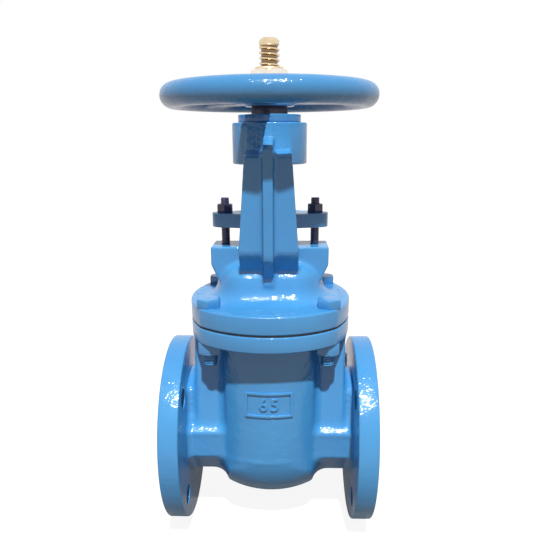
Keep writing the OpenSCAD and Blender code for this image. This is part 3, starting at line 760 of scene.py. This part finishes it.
def make_bonnet():
    outline = DOME_OUTLINE + [(-y, z) for y, z in reversed(DOME_OUTLINE)]
    profile = [(0, DOME_OUTLINE[0][1])] + DOME_OUTLINE + [(0, DOME_OUTLINE[-1][1])]
    casting = plate_along_x(outline, -DOME_SPREAD, DOME_SPREAD)
    for side in (-1, 1):
        end = widened(turned(profile, 128), DOME_END)
        join(casting, moved(end, Vector((side * DOME_SPREAD * MM, 0, 0))))
    join(casting, plate_up(joint_outline(4), BONNET_Z + 2, DECK_Z - 0.1))
    skin(casting, GRAIN)
    fillet_corners(casting, ROOT_FILLET, GRAIN)
    join(casting, rod(BOX_R, at(0, 0, DOME_Z), at(0, 0, BOX_TOP_Z)),
         plate_along_y(EAR_OUTLINE, -EAR_HALF_Y, EAR_HALF_Y), *arms(),
         rod(HEAD_R - 1, at(0, 0, HEAD_Z + 1), at(0, 0, HEAD_TOP_Z - 1)))
    skin(casting, FINE_GRAIN)
    fillet_corners(casting, ARM_FILLET, FINE_GRAIN)
    rub(casting, 3)
    fuse(casting, soft_edges(plate_up(joint_outline(), BONNET_Z, DECK_Z), 1.6, 4),
         soft_edges(rod(HEAD_R, at(0, 0, HEAD_Z), at(0, 0, HEAD_TOP_Z), 128), 1.2, 3))
    cut(casting, block(at(-90, -90, HEAD_TOP_Z), at(90, 90, HEAD_TOP_Z + 30)),
        block(at(-90, -90, BONNET_Z - 30), at(90, 90, BONNET_Z)))
    roof = arc(0, DOME_Z, CAVITY_R, 0, CAVITY_ROOF, 6)
    cut(casting, turned([(0, BONNET_Z - 1), (CAVITY_R, BONNET_Z - 1)] + roof + [(0, roof[-1][1])], 96))
    cut(casting, rod(STEM_BORE_R, at(0, 0, BONNET_Z), at(0, 0, HEAD_Z - 5)),
        rod(PACKING_R, at(0, 0, PACKING_Z), at(0, 0, BOX_TOP_Z + 20)),
        rod(JOURNAL_R, at(0, 0, HEAD_Z - 3), at(0, 0, HEAD_TOP_Z + 1)),
        rod(COLLAR_R, at(0, 0, COLLAR_Z), at(0, 0, HEAD_TOP_Z + 1)))
    for side in (-1, 1):
        cut(casting, rod(STUD_R + RUN_GAP, at(side * STUD_X, 0, span("gland_stud_left", 2)[0]),
                         at(side * STUD_X, 0, BOX_TOP_Z + 5), 40))
    for place in BONNET_BOLTS:
        x, y = centre_of("bonnet_nut_" + place)
        cut(casting, rod(JOINT_HOLE_R, at(x, y, BONNET_Z - 1), at(x, y, DECK_Z + BOLT_SPOT_H), 48))
    thin_out(casting, MOST_FACES)
    shade(casting)
    return hand_over(casting, "bonnet_casting", bonnet_paint, "valve", ["bonnet"])


make_bonnet()


def make_gasket():
    """The joint sheet, cut to both flanges with its bolt holes and its middle open."""
    low, high = span("bonnet_gasket", 2)
    sheet = plate_up(joint_outline(1), low, high)
    cut(sheet, plate_up(chest_outline(CHEST_HALF_X - WALL, CHEST_HALF_Y - WALL, CHEST_BOW - WALL,
                                      CHEST_CORNER - WALL / 2), low - 1, high + 1))
    for place in BONNET_BOLTS:
        x, y = centre_of("bonnet_nut_" + place)
        cut(sheet, rod(JOINT_HOLE_R, at(x, y, low - 1), at(x, y, high + 1), 48))
    shade(sheet)
    hand_over(sheet, "joint_gasket", gasket_sheet, "valve", ["bonnet_gasket"])


make_gasket()

# ---- gland ----

GLAND_MID_R, GLAND_END_R = 21.9, 11.5
GLAND_BORE_R, STUD_HOLE_R = 10, 4.5
STUD_DEPTH, STUD_PITCH, STUD_TAPER = 0.55, 1.25, 0.8


def gland_outline():
    """A two-bolt flange's plan: a round middle and round ends with straight sides between."""
    lean = math.degrees(math.acos((GLAND_MID_R - GLAND_END_R) / STUD_X))
    return (arc(STUD_X, 0, GLAND_END_R, -lean, lean, 24) + arc(0, 0, GLAND_MID_R, lean, 180 - lean, 10)
            + arc(-STUD_X, 0, GLAND_END_R, 180 - lean, 180 + lean, 24)
            + arc(0, 0, GLAND_MID_R, 180 + lean, 360 - lean, 10))


def make_gland_flange():
    low, high = span("gland_flange", 2)
    flange = plate_up(gland_outline(), low, high)
    cut(flange, rod(GLAND_BORE_R, at(0, 0, low - 1), at(0, 0, high + 1)))
    for side in (-1, 1):
        cut(flange, rod(STUD_HOLE_R, at(side * STUD_X, 0, low - 1), at(side * STUD_X, 0, high + 1), 48))
    soft_edges(flange, 1.3, 3)
    shade(flange)
    hand_over(flange, "gland_flange_casting", gland_paint, "valve", ["gland_flange"])


def make_gland_bolting():
    low, high = span("gland_stud_left", 2)
    nut_low, nut_high = span("gland_nut_left", 2)
    across, deep = [span("gland_nut_left", axis)[1] - span("gland_nut_left", axis)[0] for axis in (0, 1)]
    flats = min(across, deep)
    stud = threaded_rod(STUD_R, STUD_DEPTH, STUD_PITCH, low, high, STUD_TAPER, 24)
    nut = hexagon(flats, nut_low, nut_high, ("high",), STUD_R + RUN_GAP)
    if deep < across:
        turned_about(nut, math.pi / 6, "Z", at(0, 0, 0))
    sides = [Vector((side * STUD_X * MM, 0, 0)) for side in (-1, 1)]
    for name, piece in zip(("left", "right"), copies_at(shade(stud, 35), sides)):
        hand_over(piece, "gland_stud_thread_" + name, stud_paint, "valve",
                  ["gland_stud_" + name])
    for name, piece in zip(("left", "right"), copies_at(shade(nut, 35), sides)):
        hand_over(piece, "gland_hexagon_" + name, stud_paint, "valve",
                  ["gland_nut_" + name])


make_gland_flange()
make_gland_bolting()

# ---- bonnet bolts and nuts ----

BOLT_R, BOLT_AF = 6, 19
BOLT_DEPTH, BOLT_PITCH, BOLT_TAPER = 0.95, 1.75, 1.0
THREAD_TOP_Z = 102


def make_bonnet_bolts():
    tip, top = span("bonnet_bolt_front_left", 2)
    nut_low, nut_high = span("bonnet_nut_front_left", 2)
    bolt = threaded_rod(BOLT_R, BOLT_DEPTH, BOLT_PITCH, tip, THREAD_TOP_Z, BOLT_TAPER, 32)
    fuse(bolt, rod(BOLT_R, at(0, 0, THREAD_TOP_Z - 1.5), at(0, 0, DECK_Z + 1), 48),
         hexagon(BOLT_AF, DECK_Z, top, ("high",)))
    nut = hexagon(BOLT_AF, nut_low, nut_high, ("low",), BOLT_R + RUN_GAP)
    shifts = [Vector((*centre_of("bonnet_nut_" + place), 0)) * MM for place in BONNET_BOLTS]
    for place, piece in zip(BONNET_BOLTS, copies_at(shade(bolt, 35), shifts)):
        hand_over(piece, "joint_bolt_" + place, bolt_paint, "valve",
                  ["bonnet_bolt_" + place])
    for place, piece in zip(BONNET_BOLTS, copies_at(shade(nut, 35), shifts)):
        hand_over(piece, "joint_nut_" + place, bolt_paint, "valve",
                  ["bonnet_nut_" + place])


make_bonnet_bolts()

# ---- yoke nut and its retainer ----

RETAINER_BORE_R = 15.6
NUT_BORE_R, NUT_SHANK_R, NUT_COLLAR_R, NUT_COLLAR_H, NUT_NECK_R, NUT_SEAT_R = 8.6, 19, 23.5, 11, 15.4, 12


def make_retainer():
    low, high = span("yoke_nut_retainer", 2)
    rim, plug, bore = span("yoke_nut_retainer", 1)[1], COLLAR_R - RUN_GAP, RETAINER_BORE_R
    collar = turned([(bore, low), (plug, low), (plug, HEAD_TOP_Z), (rim, HEAD_TOP_Z), (rim, high),
                     (bore, high), (bore, low)], 128)
    soft_edges(collar, 0.9, 3)
    shade(collar)
    hand_over(collar, "retaining_collar", retainer_paint, "valve", ["yoke_nut_retainer"])


HUB_LOW, HUB_HIGH = span("handwheel_key", 2)


def key_way():
    """The space of the key, half in the yoke nut and half in the wheel."""
    low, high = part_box("handwheel_key")
    return block(low, high + Vector((0, 0, 2 * MM)))


def make_yoke_nut():
    low, high = span("yoke_nut", 2)
    collar_low = COLLAR_Z + 0.3
    collar_high = collar_low + NUT_COLLAR_H
    nut = turned([(NUT_BORE_R, low), (NUT_SHANK_R, low), (NUT_SHANK_R, collar_low),
                  (NUT_COLLAR_R, collar_low), (NUT_COLLAR_R, collar_high), (NUT_NECK_R, collar_high),
                  (NUT_NECK_R, HUB_LOW), (NUT_SEAT_R, HUB_LOW), (NUT_SEAT_R, high),
                  (NUT_BORE_R, high), (NUT_BORE_R, low)], 96)
    soft_edges(nut, 0.6, 2)
    cut(nut, key_way())
    shade(nut)
    hand_over(nut, "threaded_yoke_nut", yoke_nut_brass, "wheel", ["yoke_nut"])


make_retainer()
make_yoke_nut()

# ---- handwheel ----

RIM_R, RIM_MID_R, RIM_Z = 9.9, 81.5, 305.2
HUB_R, SEAT_BORE_R = 21, 12.03
SPOKES = (-104.5, 15.5, 135.5)
SPOKE_HALF_W, SPOKE_T, SPOKE_Z, SPOKE_ROOT_X, SPOKE_ROUND = 11, 10, 304.2, 12, 4.2
WHEEL_FILLET, WHEEL_FACES, WHEEL_NUT_AF = 7, 150000, 30


def make_handwheel():
    clear()
    bpy.ops.mesh.primitive_torus_add(
        major_radius=RIM_MID_R * MM, minor_radius=RIM_R * MM, major_segments=160, minor_segments=40,
        location=at(0, 0, RIM_Z))
    wheel = settle(bpy.context.object)
    join(wheel, rod(HUB_R, at(0, 0, HUB_LOW + 0.4), at(0, 0, HUB_HIGH - 0.4)))
    spoke = soft_edges(block(at(SPOKE_ROOT_X, -SPOKE_HALF_W, SPOKE_Z - SPOKE_T / 2),
                             at(RIM_MID_R, SPOKE_HALF_W, SPOKE_Z + SPOKE_T / 2)), SPOKE_ROUND, 5)
    for angle in SPOKES:
        join(wheel, turned_about(copy_of(spoke), math.radians(angle), "Z", at(0, 0, 0)))
    bpy.data.objects.remove(spoke)
    skin(wheel, GRAIN)
    fillet_corners(wheel, WHEEL_FILLET, GRAIN)
    rub(wheel, 4)
    low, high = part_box("handwheel")
    keep(wheel, block(low, high))
    fuse(wheel, soft_edges(rod(HUB_R, at(0, 0, HUB_LOW), at(0, 0, HUB_HIGH)), 1.2, 3))
    cut(wheel, rod(SEAT_BORE_R, at(0, 0, HUB_LOW - 2), at(0, 0, HUB_HIGH + 2), 64), key_way())
    thin_out(wheel, WHEEL_FACES)
    shade(wheel)
    hand_over(wheel, "wheel_casting", wheel_paint, "wheel", ["handwheel"])


def make_wheel_nut():
    low, high = span("handwheel_nut", 2)
    nut = hexagon(WHEEL_NUT_AF, low, high, ("high",), SEAT_BORE_R)
    if span("handwheel_nut", 1)[1] < span("handwheel_nut", 0)[1]:
        turned_about(nut, math.pi / 6, "Z", at(0, 0, 0))
    shade(nut, 35)
    hand_over(nut, "wheel_hexagon", wheel_nut_brass, "wheel", ["handwheel_nut"])


make_handwheel()
make_wheel_nut()

# ---- stem ----

STEM_R, STEM_END_R, STEM_END_H = 8.5, 8.4, 5
THREAD_LOW_Z, STEM_PITCH, STEM_THREAD_DEPTH = 212, 4, 1.7
TEE_R, TEE_H, TEE_NECK_R, TEE_TOP_Z = 11, 9, 6.5, 57.5
CORE_R, CUTTER_R = 6.6, 8.8


def make_stem():
    low, high = span("stem", 2)
    thread_top = high - STEM_END_H
    start_r, run_in = CORE_R + 0.1, CUTTER_R - CORE_R - 0.1
    envelope = turned([(0, THREAD_LOW_Z), (start_r, THREAD_LOW_Z), (CUTTER_R, THREAD_LOW_Z + run_in),
                       (CUTTER_R, thread_top - run_in), (start_r, thread_top), (0, thread_top)])
    screw = thread(STEM_R, STEM_THREAD_DEPTH, STEM_PITCH, THREAD_LOW_Z, thread_top, left=True, steps=64)
    stem = moved(keep(screw, moved(envelope, Vector((-STEM_X, 0, 0)))), at(0, 0, 0))
    shank = turned([(0, low), (TEE_R, low), (TEE_R, low + TEE_H), (TEE_NECK_R, low + TEE_H),
                    (TEE_NECK_R, TEE_TOP_Z), (STEM_R, TEE_TOP_Z), (STEM_R, THREAD_LOW_Z + 1.5),
                    (CORE_R, THREAD_LOW_Z + 3.4), (0, THREAD_LOW_Z + 3.4)], 96)
    tip = turned([(0, thread_top - 2), (CORE_R, thread_top - 2), (STEM_END_R, thread_top),
                  (STEM_END_R, high - 2), (STEM_END_R - 2, high), (0, high)], 96)
    fuse(stem, shank, tip)
    shade(stem, 35)
    hand_over(stem, "threaded_stem", stem_brass, "stem", ["stem"])


make_stem()

# ---- finishes on the pieces kept as they are ----


def dress(node, material):
    """Gives a kept piece its finish, in the slot that it came with."""
    for holder in bpy.data.objects[node].material_slots:
        holder.material = material


for node in ("wedge_facing_inlet", "wedge_facing_outlet"):
    dress(node, facing_brass)
for node in ("inlet_seat_ring", "outlet_seat_ring"):
    dress(node, seat_brass)
dress("packing", packing_rope)
dress("gland_follower", gland_brass)
dress("handwheel_key", key_steel)
dress("wedge", wedge_iron)

# ---- camera, light and floor ----

LENS_LENGTH, SENSOR_WIDTH = 38.49, 36
LENS_SHIFT_X, LENS_SHIFT_Y = 0.0168, 0.097
CAMERA_PLACE = (0.11298, -0.5405, 0.2706)
CAMERA_PAN, CAMERA_DIP, CAMERA_ROLL = 0.0328, 0.3146, -0.0049
SUN_STRENGTH, SUN_SPREAD = 4.3, 2
SUN_FROM = (0.05, -0.53, 0.85)
FILL_COLOUR, FILL_STRENGTH = (1.0, 0.92, 1.0, 1), 0.24
WHITE = (1, 1, 1, 1)
FLOOR_GAP = 0.0002
FLOOR_BASE, FLOOR_REFLECTED = (0.22, 0.19, 0.16, 1), (1.0, 0.93, 0.88, 1)
FLOOR_SHOWN = 0.90
# Painted shadow: the floor's reflected glow is dimmed to the near share close to the valve and rises to the
# open share farther out.
NEAR_VALVE, NEAR_SHARE = 0.10, 0.20
OPEN_FLOOR, OPEN_SHARE = 0.36, 0.90


def set_camera():
    lens = bpy.data.cameras.new("camera")
    lens.sensor_width = SENSOR_WIDTH
    lens.lens = LENS_LENGTH
    lens.shift_x = LENS_SHIFT_X
    lens.shift_y = LENS_SHIFT_Y
    camera = bpy.data.objects.new("camera", lens)
    scene.collection.objects.link(camera)
    camera.matrix_world = (
        Matrix.Translation(CAMERA_PLACE) @ Matrix.Rotation(CAMERA_PAN, 4, "Z")
        @ Matrix.Rotation(math.pi / 2 - CAMERA_DIP, 4, "X") @ Matrix.Rotation(CAMERA_ROLL, 4, "Z"))
    scene.camera = camera


def set_key_lamp():
    lamp = bpy.data.lights.new("key_lamp", "SUN")
    lamp.energy = SUN_STRENGTH
    lamp.angle = math.radians(SUN_SPREAD)
    key = bpy.data.objects.new("key_lamp", lamp)
    scene.collection.objects.link(key)
    key.rotation_euler = Vector(SUN_FROM).to_track_quat("Z", "Y").to_euler()


def seen_directly(tree):
    """1 for what the camera, a reflection or clear glass shows, and 0 for light that falls."""
    path = tree.nodes.new("ShaderNodeLightPath")
    total = path.outputs["Is Camera Ray"]
    for name in ("Is Glossy Ray", "Is Transmission Ray"):
        add = tree.nodes.new("ShaderNodeMath")
        add.operation = "MAXIMUM"
        tree.links.new(total, add.inputs[0])
        tree.links.new(path.outputs[name], add.inputs[1])
        total = add.outputs["Value"]
    return total


def set_world():
    world = bpy.data.worlds.new("studio")
    scene.world = world
    world.use_nodes = True
    tree = world.node_tree
    fill = tree.nodes["Background"]
    fill.inputs["Color"].default_value = FILL_COLOUR
    fill.inputs["Strength"].default_value = FILL_STRENGTH
    white = tree.nodes.new("ShaderNodeBackground")
    white.inputs["Color"].default_value = WHITE
    mix = tree.nodes.new("ShaderNodeMixShader")
    tree.links.new(seen_directly(tree), mix.inputs["Fac"])
    tree.links.new(fill.outputs["Background"], mix.inputs[1])
    tree.links.new(white.outputs["Background"], mix.inputs[2])
    tree.links.new(mix.outputs["Shader"], tree.nodes["World Output"].inputs["Surface"])


def set_floor():
    """A pale floor. It shows white where nothing shades it, and keeps the valve's shadow."""
    clear()
    bpy.ops.mesh.primitive_plane_add(size=8, location=(STEM_X, 0, -FLANGE_R * MM - FLOOR_GAP))
    floor = settle(bpy.context.object)
    floor.name = "studio_floor"
    material = bpy.data.materials.new("studio_floor")
    material.use_nodes = True
    tree = material.node_tree
    matt = tree.nodes["Principled BSDF"]
    matt.inputs["Base Color"].default_value = FLOOR_BASE
    matt.inputs["Roughness"].default_value = 0.9
    matt.inputs["Specular IOR Level"].default_value = 0.0
    path = tree.nodes.new("ShaderNodeLightPath")
    total = matt.outputs["BSDF"]
    place = tree.nodes.new("ShaderNodeTexCoord")
    centred = tree.nodes.new("ShaderNodeMapping")
    centred.inputs["Location"].default_value = (-STEM_X, 0, 0)
    centred.inputs["Scale"].default_value = (1, 1, 0)
    away = tree.nodes.new("ShaderNodeVectorMath")
    away.operation = "LENGTH"
    # Painted shadow: reflections of the floor are dimmed near the valve, where its shadow falls.
    painted_shadow_share = tree.nodes.new("ShaderNodeMapRange")
    painted_shadow_share.inputs["From Min"].default_value = NEAR_VALVE
    painted_shadow_share.inputs["From Max"].default_value = OPEN_FLOOR
    painted_shadow_share.inputs["To Min"].default_value = NEAR_SHARE
    painted_shadow_share.inputs["To Max"].default_value = OPEN_SHARE
    tree.links.new(place.outputs["Object"], centred.inputs["Vector"])
    tree.links.new(centred.outputs["Vector"], away.inputs[0])
    tree.links.new(away.outputs["Value"], painted_shadow_share.inputs["Value"])
    for ray, colour, strength in (("Is Camera Ray", WHITE, FLOOR_SHOWN),
                                  ("Is Glossy Ray", FLOOR_REFLECTED, painted_shadow_share.outputs["Result"])):
        shown = tree.nodes.new("ShaderNodeEmission")
        shown.inputs["Color"].default_value = colour
        share = tree.nodes.new("ShaderNodeMath")
        share.operation = "MULTIPLY"
        tree.links.new(path.outputs[ray], share.inputs[0])
        if isinstance(strength, float):
            share.inputs[1].default_value = strength
        else:
            tree.links.new(strength, share.inputs[1])
        tree.links.new(share.outputs["Value"], shown.inputs["Strength"])
        add = tree.nodes.new("ShaderNodeAddShader")
        tree.links.new(total, add.inputs[0])
        tree.links.new(shown.outputs["Emission"], add.inputs[1])
        total = add.outputs["Shader"]
    tree.links.new(total, tree.nodes["Material Output"].inputs["Surface"])
    floor.data.materials.append(material)


set_camera()
set_key_lamp()
set_world()
set_floor()
scene.view_settings.view_transform = "Standard"

clear()
